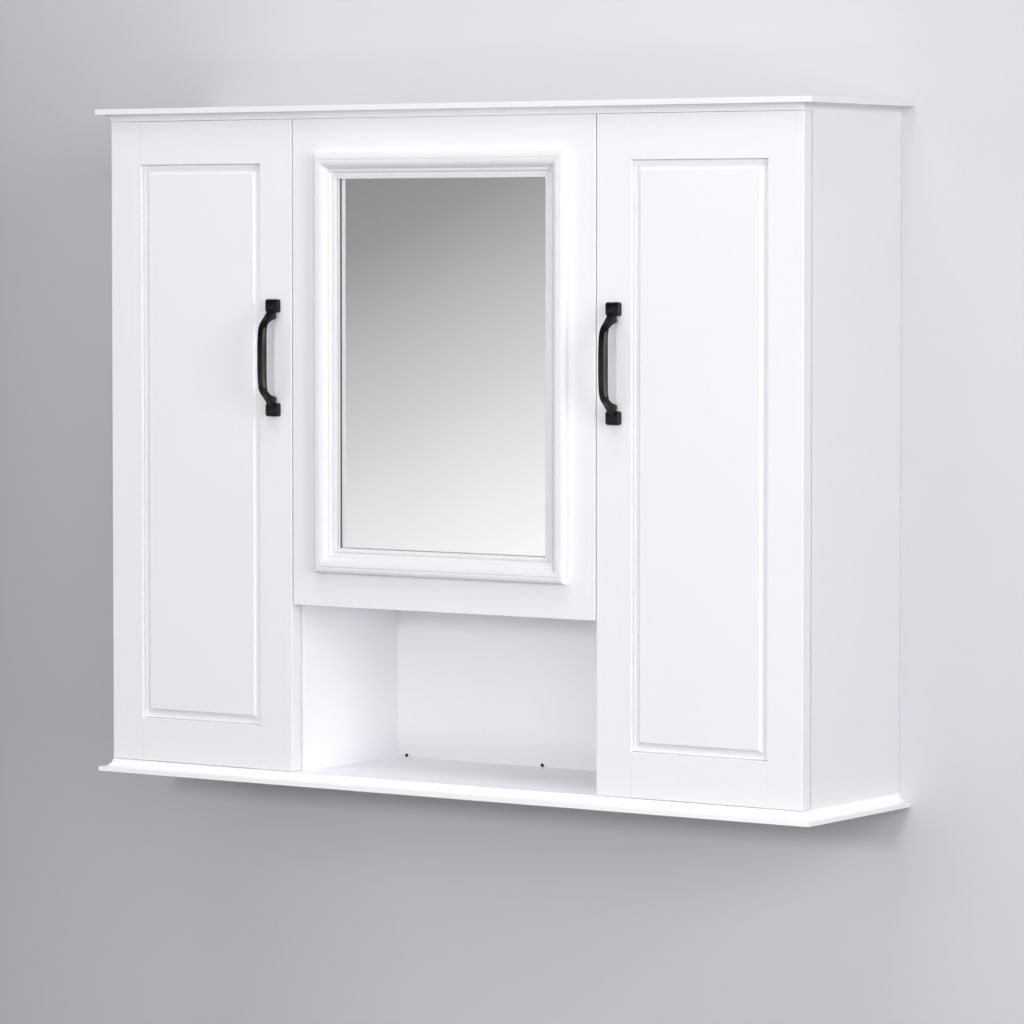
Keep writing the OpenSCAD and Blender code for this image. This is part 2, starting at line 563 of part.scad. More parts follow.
// straight length of moulding along x with mitred ends, outer edge at the bottom
module mould_len(l) {
  intersection() {
    translate([-l/2, 0, 0]) rotate([90, 0, 90]) linear_extrude(l) polygon([for (p = sect) [-p[1], p[0]]]);
    rotate([90, 0, 0]) translate([0, 0, -20]) linear_extrude(40) polygon([[-l/2, 0], [l/2, 0], [l/2 - mould_b, mould_b], [-l/2 + mould_b, mould_b]]);
  }
}
module mirror_moulding_bottom() { color("#f5f6f7") up() translate([0, ydf, mdz - mould_h/2]) mould_len(mould_w); }
module mirror_moulding_top() { color("#f5f6f7") up() translate([0, ydf, mdz + mould_h/2]) mirror([0, 0, 1]) mould_len(mould_w); }
module mirror_moulding_left() { color("#f5f6f7") up() translate([-mould_w/2, ydf, mdz]) rotate([0, 90, 0]) mould_len(mould_h); }
module mirror_moulding_right() { color("#f5f6f7") up() translate([mould_w/2, ydf, mdz]) rotate([0, -90, 0]) mould_len(mould_h); }
module mirror_glass() { color("#c9d3d8") up() box([-ow + 0.5, glass_y, mdz - oh + 0.5], [ow - 0.5, glass_y + glass_t, mdz + oh - 0.5]); }
module mirror_backing() { color("#a88457") up() box([-ow + 0.3, glass_y + glass_t, mdz - oh + 0.3], [ow - 0.3, glass_y + glass_t + 3, mdz + oh - 0.3]); }
// turn buttons screwed to the back of the board, holding the backing in
module clip(x, z, a) {
  translate([x, ydb, z]) rotate([0, a, 0]) {
    difference() {
      union() { box([-6, 0, -4.5], [15, 1.2, 4.5]); }
      cyl_y(0, -1, 0, 1.6, 3);
    }
    cyl_y(0, 0.9, 0, 2.8, 1.2);
    cyl_y(0, -7, 0, 1.4, 8.2);
    box([7.5, -(ydb - glass_y - glass_t - 3), -4.5], [15, 0.4, 4.5]);
  }
}
module mirror_clips() {
  color("#d8dadd") up() for (p = clip_places) clip(p[0], p[1], p[2]);
}

top_board();
bottom_board();
left_side_panel();
right_side_panel();
left_partition();
right_partition();
niche_ceiling();
back_panel();
hanging_rails();
left_shelves();
right_shelves();
middle_shelf();
shelf_pins();
cam_locks();
cam_bolts();
wood_dowels();
back_panel_nails();
niche_back_pins();
niche_ceiling_screws();
hinge_plates();
hinge_arms();
hinge_plate_screws();
catch_housings();
catch_magnets();
door_bumpers();
left_door_hinge_stile();
left_door_latch_stile();
left_door_top_rail();
left_door_bottom_rail();
left_door_panel();
left_handle();
left_handle_screws();
left_hinge_cups();
left_hinge_cup_screws();
left_strike_plate();
left_hinge_links();
right_door_hinge_stile();
right_door_latch_stile();
right_door_top_rail();
right_door_bottom_rail();
right_door_panel();
right_handle();
right_handle_screws();
right_hinge_cups();
right_hinge_cup_screws();
right_strike_plate();
right_hinge_links();
mirror_door_board();
mirror_moulding_top();
mirror_moulding_bottom();
mirror_moulding_left();
mirror_moulding_right();
mirror_glass();
mirror_backing();
mirror_clips();
mirror_hinge_cups();
mirror_hinge_cup_screws();
mirror_strike_plate();
mirror_hinge_links();
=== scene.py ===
import math

import bpy  # noqa: E402
import bmesh  # noqa: E402
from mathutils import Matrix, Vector  # noqa: E402


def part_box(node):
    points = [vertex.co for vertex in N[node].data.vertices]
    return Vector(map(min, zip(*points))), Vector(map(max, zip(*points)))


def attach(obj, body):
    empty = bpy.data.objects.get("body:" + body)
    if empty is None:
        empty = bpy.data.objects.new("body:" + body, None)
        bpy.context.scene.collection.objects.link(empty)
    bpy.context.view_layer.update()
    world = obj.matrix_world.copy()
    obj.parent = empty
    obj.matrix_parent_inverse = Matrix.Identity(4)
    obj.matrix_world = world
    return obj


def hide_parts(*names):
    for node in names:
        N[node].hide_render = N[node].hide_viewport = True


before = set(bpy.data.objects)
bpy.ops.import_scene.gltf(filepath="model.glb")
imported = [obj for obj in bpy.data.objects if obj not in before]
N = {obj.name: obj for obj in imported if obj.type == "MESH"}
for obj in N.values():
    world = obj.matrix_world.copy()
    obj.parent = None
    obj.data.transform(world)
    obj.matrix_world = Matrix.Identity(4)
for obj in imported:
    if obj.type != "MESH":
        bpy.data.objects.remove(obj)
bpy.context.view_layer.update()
col = bpy.context.scene.collection
MM = 0.001


# ------------------------------------------------------------------ materials
def srgb(v):
    v = v / 255.0
    return v / 12.92 if v <= 0.04045 else ((v + 0.055) / 1.055) ** 2.4


def start(name):
    m = bpy.data.materials.new(name)
    m.use_nodes = True
    nt = m.node_tree
    nt.nodes.clear()
    out = nt.nodes.new("ShaderNodeOutputMaterial")
    b = nt.nodes.new("ShaderNodeBsdfPrincipled")
    nt.links.new(b.outputs["BSDF"], out.inputs["Surface"])
    return m, nt, b


def coords(nt, scale=(1, 1, 1)):
    tc = nt.nodes.new("ShaderNodeTexCoord")
    mp = nt.nodes.new("ShaderNodeMapping")
    mp.inputs["Scale"].default_value = scale
    nt.links.new(tc.outputs["Object"], mp.inputs["Vector"])
    return mp.outputs["Vector"]


def noise(nt, vec, scale, detail=3.0, rough=0.5, dist=0.0):
    n = nt.nodes.new("ShaderNodeTexNoise")
    n.inputs["Scale"].default_value = scale
    n.inputs["Detail"].default_value = detail
    n.inputs["Roughness"].default_value = rough
    n.inputs["Distortion"].default_value = dist
    nt.links.new(vec, n.inputs["Vector"])
    return n.outputs["Fac"]


def ramp(nt, fac, stops):
    r = nt.nodes.new("ShaderNodeValToRGB")
    e = r.color_ramp.elements
    while len(e) > 1:
        e.remove(e[-1])
    for i, (p, c) in enumerate(stops):
        k = e[0] if i == 0 else e.new(p)
        k.position = p
        k.color = (c[0], c[1], c[2], 1.0) if hasattr(c, "__len__") else (c, c, c, 1.0)
    nt.links.new(fac, r.inputs["Fac"])
    return r.outputs["Color"]


def rng(nt, fac, a, b, lo=0.0, hi=1.0):
    m = nt.nodes.new("ShaderNodeMapRange")
    m.inputs["From Min"].default_value = lo
    m.inputs["From Max"].default_value = hi
    m.inputs["To Min"].default_value = a
    m.inputs["To Max"].default_value = b
    nt.links.new(fac, m.inputs["Value"])
    return m.outputs["Result"]


def math_node(nt, op, a, b=None, c=None):
    m = nt.nodes.new("ShaderNodeMath")
    m.operation = op
    for i, v in enumerate((a, b, c)):
        if v is None:
            continue
        if isinstance(v, (int, float)):
            m.inputs[i].default_value = v
        else:
            nt.links.new(v, m.inputs[i])
    return m.outputs[0]


def bump(nt, b, height, strength, distance):
    n = nt.nodes.new("ShaderNodeBump")
    n.inputs["Strength"].default_value = strength
    n.inputs["Distance"].default_value = distance
    nt.links.new(height, n.inputs["Height"])
    nt.links.new(n.outputs["Normal"], b.inputs["Normal"])
    return n


def tint(c, k):
    return tuple(min(1.0, x * k) for x in c)


def paint(name, c, rough=0.36, peel=0.10, peel_mm=0.9, var=0.012, coat=0.0):
    """Sprayed satin lacquer on board: faint tone drift, orange peel, uneven sheen."""
    m, nt, b = start(name)
    v = coords(nt)
    drift = noise(nt, v, 7.0, 4.0, 0.55)
    fine = noise(nt, v, 140.0, 2.0, 0.5)
    mix = math_node(nt, "ADD", math_node(nt, "MULTIPLY", drift, 0.75), math_node(nt, "MULTIPLY", fine, 0.25))
    nt.links.new(ramp(nt, mix, [(0.3, tint(c, 1 - var)), (0.5, c), (0.7, tint(c, 1 + var * 0.7))]), b.inputs["Base Color"])
    nt.links.new(rng(nt, noise(nt, v, 22.0, 3.0), rough - 0.04, rough + 0.05, 0.3, 0.7), b.inputs["Roughness"])
    grain = noise(nt, v, 1.0 / (peel_mm * MM) * 0.5, 2.0, 0.45)
    bump(nt, b, grain, peel, 0.00012)
    if coat:
        b.inputs["Coat Weight"].default_value = coat
        b.inputs["Coat Roughness"].default_value = 0.22
    return m


def metal(name, c, rough=0.3, spread=0.08, stretch=(1, 1, 1), scale=220.0, strength=0.05):
    m, nt, b = start(name)
    v = coords(nt, stretch)
    b.inputs["Metallic"].default_value = 1.0
    g = noise(nt, v, scale, 4.0, 0.6)
    nt.links.new(ramp(nt, g, [(0.25, tint(c, 0.86)), (0.55, c), (0.8, tint(c, 1.1))]), b.inputs["Base Color"])
    nt.links.new(rng(nt, g, rough - spread, rough + spread, 0.25, 0.75), b.inputs["Roughness"])
    bump(nt, b, g, strength, 0.00008)
    return m


def black_iron(name):
    """Black bow handle: glossy enamel over a slightly uneven casting."""
    m, nt, b = start(name)
    v = coords(nt)
    cast = noise(nt, v, 300.0, 3.0, 0.55)
    pits = noise(nt, v, 1500.0, 2.0, 0.5)
    nt.links.new(ramp(nt, cast, [(0.3, (0.0012, 0.0012, 0.0013)), (0.6, (0.002, 0.002, 0.0021)), (0.8, (0.004, 0.004, 0.0042))]), b.inputs["Base Color"])
    nt.links.new(rng(nt, cast, 0.16, 0.25, 0.3, 0.7), b.inputs["Roughness"])
    h = math_node(nt, "ADD", math_node(nt, "MULTIPLY", cast, 0.85), math_node(nt, "MULTIPLY", pits, 0.15))
    bump(nt, b, h, 0.06, 0.00022)
    b.inputs["IOR"].default_value = 1.40
    return m


def silvered(name):
    m, nt, b = start(name)
    v = coords(nt)
    b.inputs["Metallic"].default_value = 1.0
    f = noise(nt, v, 5.0, 2.0)
    nt.links.new(ramp(nt, f, [(0.3, (0.93, 0.94, 0.938)), (0.7, (0.955, 0.96, 0.96))]), b.inputs["Base Color"])
    nt.links.new(rng(nt, noise(nt, v, 60.0, 3.0), 0.004, 0.016, 0.3, 0.7), b.inputs["Roughness"])
    return m


def fibre(name, dark, light, rough=0.75, scale=260.0):
    """Pressed fibre board."""
    m, nt, b = start(name)
    v = coords(nt)
    a = noise(nt, v, scale, 5.0, 0.7)
    s = noise(nt, coords(nt, (1.0, 1.0, 0.2)), scale * 3.0, 2.0, 0.6)
    f = math_node(nt, "ADD", math_node(nt, "MULTIPLY", a, 0.6), math_node(nt, "MULTIPLY", s, 0.4))
    nt.links.new(ramp(nt, f, [(0.35, dark), (0.65, light)]), b.inputs["Base Color"])
    nt.links.new(rng(nt, f, rough - 0.08, rough + 0.1, 0.3, 0.7), b.inputs["Roughness"])
    bump(nt, b, f, 0.35, 0.0002)
    return m


def back_board(name):
    """Thin back panel: lacquered white towards the compartments, raw fibre towards the wall."""
    m, nt, b = start(name)
    tc = nt.nodes.new("ShaderNodeTexCoord")
    sep = nt.nodes.new("ShaderNodeSeparateXYZ")
    nt.links.new(tc.outputs["Object"], sep.inputs["Vector"])
    rear = rng(nt, sep.outputs["Y"], 0.0, 1.0, -0.0028, -0.0026)
    v = coords(nt)
    drift = noise(nt, v, 8.0, 4.0, 0.55)
    white = ramp(nt, drift, [(0.3, (0.895, 0.90, 0.91)), (0.7, (0.915, 0.92, 0.93))])
    f = noise(nt, v, 300.0, 5.0, 0.7)
    brown = ramp(nt, f, [(0.33, (0.20, 0.125, 0.07)), (0.66, (0.36, 0.245, 0.15))])
    mx = nt.nodes.new("ShaderNodeMix")
    mx.data_type = "RGBA"
    nt.links.new(rear, mx.inputs["Factor"])
    nt.links.new(white, mx.inputs[6])
    nt.links.new(brown, mx.inputs[7])
    nt.links.new(mx.outputs[2], b.inputs["Base Color"])
    r = math_node(nt, "ADD", math_node(nt, "MULTIPLY", rear, 0.33), rng(nt, f, 0.42, 0.5, 0.3, 0.7))
    nt.links.new(r, b.inputs["Roughness"])
    bump(nt, b, f, 0.12, 0.0001)
    return m


def wood(name, dark, light):
    m, nt, b = start(name)
    v = coords(nt, (1, 1, 0.08))
    a = noise(nt, v, 700.0, 4.0, 0.6, 0.3)
    nt.links.new(ramp(nt, a, [(0.3, dark), (0.7, light)]), b.inputs["Base Color"])
    nt.links.new(rng(nt, a, 0.5, 0.68, 0.3, 0.7), b.inputs["Roughness"])
    bump(nt, b, a, 0.3, 0.0001)
    return m


def plastic(name, c, rough=0.35, sss=0.0, trans=0.0):
    m, nt, b = start(name)
    v = coords(nt)
    g = noise(nt, v, 900.0, 2.0, 0.5)
    d = noise(nt, v, 40.0, 3.0, 0.5)
    nt.links.new(ramp(nt, d, [(0.3, tint(c, 0.97)), (0.7, tint(c, 1.02))]), b.inputs["Base Color"])
    nt.links.new(rng(nt, g, rough - 0.05, rough + 0.07, 0.3, 0.7), b.inputs["Roughness"])
    bump(nt, b, g, 0.12, 0.00006)
    if sss:
        b.inputs["Subsurface Weight"].default_value = sss
        b.inputs["Subsurface Radius"].default_value = (0.002, 0.002, 0.002)
    if trans:
        b.inputs["Transmission Weight"].default_value = trans
        b.inputs["IOR"].default_value = 1.46
    return m


WHITE = (0.867, 0.872, 0.898)
M = {
    "board": paint("satin_white_board", WHITE, 0.38, 0.10),
    "door": paint("satin_white_door", tint(WHITE, 1.004), 0.34, 0.12),
    # Moulding white is a darker copy of the paint (x0.955): painted shade toning down the brightly lit slopes of the
    # mirror frame.
    "moulding": paint("satin_white_moulding_painted_shade", tint(WHITE, 0.955), 0.40, 0.08),
    "side": paint("satin_white_side", tint(WHITE, 0.985), 0.38, 0.10),
    # Interior white is a lighter copy of the paint (x1.10): painted light standing in for the bounce light inside the
    # compartments.
    "inside": paint("white_inside_painted_light", tint(WHITE, 1.10), 0.42, 0.10),
    # Bottom board white is a lighter copy of the paint (x1.10): painted light for its brighter, upward-lit front edge.
    "foot": paint("satin_white_foot_painted_light", tint(WHITE, 1.10), 0.36, 0.10),
    "shelf": paint("white_shelf", tint(WHITE, 0.985), 0.40, 0.10),
    "black": black_iron("black_cast_handle"),
    "mirror": silvered("silvered_mirror"),
    # Dark glass-edge tone for the mirror plate's edges and recess walls, also painted shade standing in for the dark
    # line under the frame's lip.
    "rim": plastic("glass_edge_and_painted_shade", (0.075, 0.09, 0.088), 0.22),
    "hardboard": fibre("raw_hardboard", (0.21, 0.13, 0.07), (0.38, 0.26, 0.16)),
    "back": back_board("faced_back_board"),
    "beech": wood("beech_dowel", (0.50, 0.33, 0.18), (0.68, 0.49, 0.30)),
    "nickel": metal("nickel_plate", (0.66, 0.65, 0.63), 0.24, 0.06, (1, 1, 0.25), 260.0, 0.04),
    "steel": metal("steel_screw", (0.55, 0.555, 0.56), 0.34, 0.08, (1, 1, 1), 500.0, 0.08),
    "zinc": metal("zinc_cam", (0.58, 0.585, 0.59), 0.42, 0.08, (1, 1, 1), 420.0, 0.10),
    "pin": plastic("dark_pin", (0.02, 0.02, 0.021), 0.4),
    "plastic": plastic("white_plastic", (0.82, 0.82, 0.80), 0.36, 0.1),
    "magnet": metal("sintered_magnet", (0.13, 0.13, 0.14), 0.5, 0.1, (1, 1, 1), 900.0, 0.15),
    "bumper": plastic("clear_bumper", (0.84, 0.86, 0.87), 0.16, 0.0, 0.55),
}


# ------------------------------------------------------------------ modifiers
def smooth_group():
    g = bpy.data.node_groups.new("shade_smooth", "GeometryNodeTree")
    g.interface.new_socket("Geometry", in_out="INPUT", socket_type="NodeSocketGeometry")
    g.interface.new_socket("Geometry", in_out="OUTPUT", socket_type="NodeSocketGeometry")
    i, o = g.nodes.new("NodeGroupInput"), g.nodes.new("NodeGroupOutput")
    s = g.nodes.new("GeometryNodeSetShadeSmooth")
    g.links.new(i.outputs[0], s.inputs["Geometry"])
    g.links.new(s.outputs["Geometry"], o.inputs[0])
    return g


SMOOTH = smooth_group()


def soften(o, width_mm, segments=2, cad=True, angle=35.0):
    """Rounds the sharp edges by a small radius and shades the flats flat."""
    if cad:
        w = o.modifiers.new("weld", "WELD")
        w.merge_threshold = 2e-6
        d = o.modifiers.new("planar", "DECIMATE")
        d.decimate_type = "DISSOLVE"
        d.angle_limit = math.radians(0.4)
    if width_mm:
        b = o.modifiers.new("edges", "BEVEL")
        b.width = width_mm * MM
        b.segments = segments
        b.limit_method = "ANGLE"
        b.angle_limit = math.radians(angle)
        b.miter_outer = "MITER_SHARP"
        b.use_clamp_overlap = True
        b.harden_normals = False
    s = o.modifiers.new("smooth", "NODES")
    s.node_group = SMOOTH
    n = o.modifiers.new("normals", "WEIGHTED_NORMAL")
    n.mode = "FACE_AREA"
    n.weight = 80
    n.keep_sharp = False
    n.thresh = 0.02


def dress(node, mat, width_mm=0.4, segments=2):
    o = N[node]
    m = M[mat]
    if not o.material_slots:
        o.data.materials.append(m)
    for s in o.material_slots:
        s.material = m
    soften(o, width_mm, segments)


# ------------------------------------------------------------------ mesh makers
def piece(name, verts, faces, mat, body, nodes):
    """verts in millimetres, in the row frame"""
    me = bpy.data.meshes.new(name)
    bm = bmesh.new()
    vs = [bm.verts.new((v[0] * MM, v[1] * MM, v[2] * MM)) for v in verts]
    for f in faces:
        bm.faces.new([vs[i] for i in f])
    bmesh.ops.remove_doubles(bm, verts=bm.verts, dist=1e-7)
    bmesh.ops.dissolve_degenerate(bm, edges=bm.edges, dist=1e-7)
    bmesh.ops.recalc_face_normals(bm, faces=bm.faces)
    for f in bm.faces:
        f.smooth = True
    bm.to_mesh(me)
    bm.free()
    o = bpy.data.objects.new(name, me)
    col.objects.link(o)
    me.materials.append(M[mat])
    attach(o, body)
    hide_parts(*nodes)
    return o


def loft(rings, cap0=True, cap1=True):
    """rings: equal-length closed loops of points"""
    n = len(rings[0])
    verts = [p for r in rings for p in r]
    faces = []
    for k in range(len(rings) - 1):
        for i in range(n):
            j = (i + 1) % n
            faces.append((k * n + i, k * n + j, (k + 1) * n + j, (k + 1) * n + i))
    if cap0:
        faces.append(tuple(reversed(range(n))))
    if cap1:
        faces.append(tuple((len(rings) - 1) * n + i for i in range(n)))
    return verts, faces


def round_rect(hx, hz, r, k=6):
    """Closed loop (x, z) of a rectangle with rounded corners, counter-clockwise, 4*(k+1) points."""
    r = max(0.01, min(r, hx - 0.01, hz - 0.01))
    pts = []
    for cx, cz, a0 in ((hx - r, hz - r, 0), (-hx + r, hz - r, 90), (-hx + r, -hz + r, 180), (hx - r, -hz + r, 270)):
        for i in range(k + 1):
            a = math.radians(a0 + 90.0 * i / k)
            pts.append((cx + r * math.cos(a), cz + r * math.sin(a)))
    return pts


def rings_xz(cx, cz, levels, k=6):
    """levels: (half x, half z, corner radius, y)"""
    return [[(cx + x, y, cz + z) for x, z in round_rect(hx, hz, r, k)] for hx, hz, r, y in levels]


def arc(cx, cy, r, a0, a1, n):
    return [(cx + r * math.cos(math.radians(a0 + (a1 - a0) * i / n)), cy + r * math.sin(math.radians(a0 + (a1 - a0) * i / n))) for i in range(n + 1)]


def mmbox(node):
    lo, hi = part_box(node)
    return lo * 1000.0, hi * 1000.0


# ------------------------------------------------------------------ carcass
dress("top_board", "board", 0.7, 3)
dress("bottom_board", "foot", 0.6, 3)
for n in ("left_side_panel", "right_side_panel"):
    dress(n, "side", 0.5)
for n in ("left_partition", "right_partition"):
    dress(n, "inside", 0.75)
for n in ("niche_ceiling", "hanging_rails"):
    dress(n, "inside", 0.4)
for n in ("left_shelves", "right_shelves", "middle_shelf"):
    dress(n, "shelf", 0.5)
dress("back_panel", "back", 0.15)
dress("shelf_pins", "nickel", 0.25)
dress("cam_locks", "zinc", 0.2)
dress("cam_bolts", "steel", 0.2)
dress("wood_dowels", "beech", 0.5)
dress("back_panel_nails", "steel", 0.15)
dress("niche_back_pins", "pin", 0.3)
dress("niche_ceiling_screws", "steel", 0.15)
dress("hinge_plates", "nickel", 0.5)
dress("hinge_arms", "nickel", 0.45)
dress("hinge_plate_screws", "steel", 0.15)
dress("catch_housings", "plastic", 0.35)
dress("catch_magnets", "magnet", 0.2)
dress("door_bumpers", "bumper", 0.35, 3)

# ------------------------------------------------------------------ doors
for side in ("left", "right"):
    for n in ("hinge_stile", "latch_stile", "top_rail", "bottom_rail"):
        dress(f"{side}_door_{n}", "door", 0.5, 3)
    dress(f"{side}_hinge_cups", "nickel", 0.25)
    dress(f"{side}_hinge_cup_screws", "steel", 0.15)
    dress(f"{side}_strike_plate", "steel", 0.2)
    dress(f"{side}_handle_screws", "steel", 0.25)
    dress(f"{side}_hinge_links", "nickel", 0.3)
dress("mirror_door_board", "door", 0.28)
dress("mirror_hinge_cups", "nickel", 0.25)
dress("mirror_hinge_cup_screws", "steel", 0.15)
dress("mirror_strike_plate", "steel", 0.2)
dress("mirror_clips", "steel", 0.2)
dress("mirror_hinge_links", "nickel", 0.3)
dress("mirror_backing", "hardboard", 0.3)


def raised_panel(side):
    """Fielded panel: tongue in the groove, a gentle margin, a small step up to the flat field."""
    st, _ = mmbox(f"{side}_door_top_rail")
    _, sb = mmbox(f"{side}_door_bottom_rail")
    lo, hi = mmbox(f"{side}_door_panel")
    front = st.y  # front plane of the door
    cx, cz = (lo.x + hi.x) / 2, (lo.z + hi.z) / 2
    hx, hz = (hi.x - lo.x) / 2, (hi.z - lo.z) / 2
    t = 4.6  # tongue
    prof = [(0.3 + t, 5.55), (0.45 + t, 4.3), (0.7 + t, 4.05), (1.1 + t, 3.98), (2.0 + t, 3.96)]
    # flat margin, then a cove that steepens up to the field
    for i in range(11):
        a = math.radians(50.0 * i / 10)
        prof.append((2.9 + t + 8.0 * math.sin(a), 3.95 - 8.0 * (1 - math.cos(a))))
    prof += [(9.2 + t, 1.03), (9.5 + t, 1.0)]
    levels = [
        (hx - t - 0.4, hz - t - 0.4, 0.4, front + 13.0),
        (hx - t - 0.2, hz - t - 0.2, 0.4, front + 12.8),
        (hx - t - 0.2, hz - t - 0.2, 0.4, front + 9.45),
        (hx, hz, 0.4, front + 9.45),
        (hx, hz, 0.4, front + 5.55),
    ]
    for i, (d, y) in enumerate(prof):
        r = 0.4 + 1.6 * max(0.0, (d - t) / 9.4)
        levels.append((hx - d, hz - d, r, front + y))
    v, f = loft(rings_xz(cx, cz, levels, 4))
    o = piece(f"{side}_raised_panel", v, f, "door", f"{side}_door", [f"{side}_door_panel"])
    soften(o, 0.0, cad=False)
    return o


for side in ("left", "right"):
    raised_panel(side)


# ------------------------------------------------------------------ handles
def bow_handle(side):
    lo, hi = mmbox(f"{side}_handle")
    cx = (lo.x + hi.x) / 2
    door_y = hi.y
    cz = (lo.z + hi.z) / 2
    out = hi.y - lo.y
    # half of the bow: outer point, inner point (along, out), width
    half = [
        ((0, out), (0, out - 6.0), 8.4),
        ((7, out - 0.02), (7, out - 6.0), 8.4),
        ((14, out - 0.15), (14, out - 6.0), 8.4),
        ((20, out - 0.45), (20, out - 6.05), 8.4),
        ((24.6, out - 0.95), (24.2, out - 6.2), 8.4),
        ((28.2, out - 1.75), (27.2, out - 6.5), 8.4),
        ((30.8, out - 2.85), (29.2, out - 7.0), 8.4),
        ((32.9, out - 4.3), (30.8, out - 7.5), 8.4),
        ((34.9, out - 6.2), (32.2, out - 8.8), 8.4),
        ((37.0, out - 8.5), (33.5, out - 10.6), 8.4),
        ((39.2, out - 10.9), (34.6, out - 12.7), 8.4),
        ((41.5, out - 13.1), (35.4, out - 15.0), 8.4),
        ((43.8, out - 14.9), (36.0, out - 17.2), 8.4),
        ((46.0, out - 16.3), (36.5, out - 19.0), 8.4),
        ((47.6, 6.1), (37.0, 3.4), 8.4),
        ((47.8, 4.6), (37.4, 2.8), 8.4),
    ]
    def section(o, i, w, s):
        cxm = ((o[0] + i[0]) / 2, (o[1] + i[1]) / 2)
        h = math.hypot(o[0] - i[0], o[1] - i[1]) / 2
        u = ((o[0] - i[0]) / (2 * h), (o[1] - i[1]) / (2 * h))
        # flat front, chamfered front edges, straight sides; x by the section's own height
        cx0, cy0 = 0.36 * (w / 2), min(3.0, h * 1.0)
        hw = w / 2
        ring = []
        right = [(hw - 0.6, -h), (hw - 0.2, -h + 0.1), (hw, -h + 0.5), (hw, -0.1 * h), (hw, h - cy0 - 0.3), (hw - 0.08, h - cy0),
                 (hw - 0.28, h - cy0 + 0.3), (hw - cx0 + 0.2, h - 0.28), (hw - cx0 - 0.02, h - 0.08), (hw - cx0 - 0.4, h)]
        full = right + [(-x, y) for x, y in reversed(right)]
        for px, ph in full:
            ring.append((cx + px, door_y - (cxm[1] + u[1] * ph), cz + s * (cxm[0] + u[0] * ph)))
        return ring

    # keep the crown inside the box: outer line lowered by the crown
    rows = []
    for o, i, w in reversed(half):
        rows.append(section((o[0], o[1] - 0.03), i, w, -1))
    for o, i, w in half[1:]:
        rows.append(section((o[0], o[1] - 0.03), i, w, 1))
    v, f = loft(rows)
    bow = piece(f"{side}_bow_handle", v, f, "black", f"{side}_door", [f"{side}_handle"])
    # domed square feet
    for k, s in ((0, -1), (1, 1)):
        lv = [
            (7.1, 6.4, 2.3, door_y - 0.02),
            (7.1, 6.4, 2.3, door_y - 4.3),
            (7.0, 6.3, 2.3, door_y - 5.0),
            (6.7, 6.0, 2.3, door_y - 5.7),
            (6.2, 5.55, 2.3, door_y - 6.3),
            (5.4, 4.8, 2.3, door_y - 6.8),
            (4.3, 3.8, 2.0, door_y - 7.1),
            (2.8, 2.4, 1.5, door_y - 7.3),
            (1.2, 1.1, 0.8, door_y - 7.37),
        ]
        pv, pf = loft(rings_xz(cx, cz + s * 48.8, lv, 6))
        me = bpy.data.meshes.new("foot")
        bm = bmesh.new()
        vs = [bm.verts.new((a * MM, b * MM, c * MM)) for a, b, c in pv]
        for q in pf:
            bm.faces.new([vs[i] for i in q])
        bmesh.ops.recalc_face_normals(bm, faces=bm.faces)
        bm.to_mesh(me)
        bm.free()
        foot = bpy.data.objects.new("foot_tmp", me)
        col.objects.link(foot)
        mod = bow.modifiers.new("join", "BOOLEAN")
        mod.operation = "UNION"
        mod.solver = "EXACT"
        mod.object = foot
        bake(bow)
        bpy.data.objects.remove(foot)
    for p in bow.data.polygons:
        p.use_smooth = True
    b = bow.modifiers.new("edges", "BEVEL")
    b.width = 0.3 * MM
    b.segments = 2
    b.limit_method = "ANGLE"
    b.angle_limit = math.radians(40)
    b.use_clamp_overlap = True
    n = bow.modifiers.new("normals", "WEIGHTED_NORMAL")
    n.weight = 60
    n.keep_sharp = False
    return bow


def bake(o):
    """Applies the modifiers of a new piece."""
    dg = bpy.context.evaluated_depsgraph_get()
    dg.update()
    me = bpy.data.meshes.new_from_object(o.evaluated_get(dg))
    old = o.data
    o.modifiers.clear()
    o.data = me
    bpy.data.meshes.remove(old)


for side in ("left", "right"):
    bow_handle(side)

# ------------------------------------------------------------------ mirror frame
# section: (distance from the outer edge, height above the door face)
SECT = [(0.0, 0.02), (0.0, 3.6), (0.05, 4.1)]
SECT += arc(4.2, 4.2, 4.15, 172, 95, 9)
SECT += [(4.9, 8.42), (5.7, 8.46), (6.05, 8.3), (6.2, 7.95), (6.45, 7.95), (6.6, 8.25)]
SECT += [(6.9 + 7.7 * t, 8.6 - 0.45 * t - 3.9 * t ** 3) for t in [i / 14 for i in range(15)]]
SECT += [(14.8, 3.95), (15.3, 3.86), (17.0, 3.86), (17.35, 3.7), (17.5, 3.3)]
SECT += arc(19.4, 3.25, 1.6, 186, 345, 10)
SECT += [(21.3, 2.45), (22.8, 2.42), (23.6, 2.3), (23.92, 1.95), (24.0, 1.5), (24.0, -3.9), (20.5, -3.9), (20.5, 0.02)]


def mitred(name, node, L, axis, sgn, base):
    """One length of moulding. axis 'x' (top, bottom) or 'z' (left, right); base = outer edge coordinate."""
    gx, gy, gz = base
    rings = []
    e = 0.03
    for end in (-1, 1):
        ring = []
        for u, h in SECT:
            a = end * (L / 2 - u - e)
            if axis == "x":
                ring.append((gx + a, gy - h, gz + sgn * u))
            else:
                ring.append((gx + sgn * u, gy - h, gz + a))
        rings.append(ring)
    v, f = loft(rings)
    o = piece(name, v, f, "moulding", "mirror_door", [node])
    b = o.modifiers.new("edges", "BEVEL")
    b.width = 0.12 * MM
    b.segments = 2
    b.limit_method = "ANGLE"
    b.angle_limit = math.radians(50)
    b.use_clamp_overlap = True
    n = o.modifiers.new("normals", "WEIGHTED_NORMAL")
    n.weight = 50
    n.keep_sharp = False
    return o


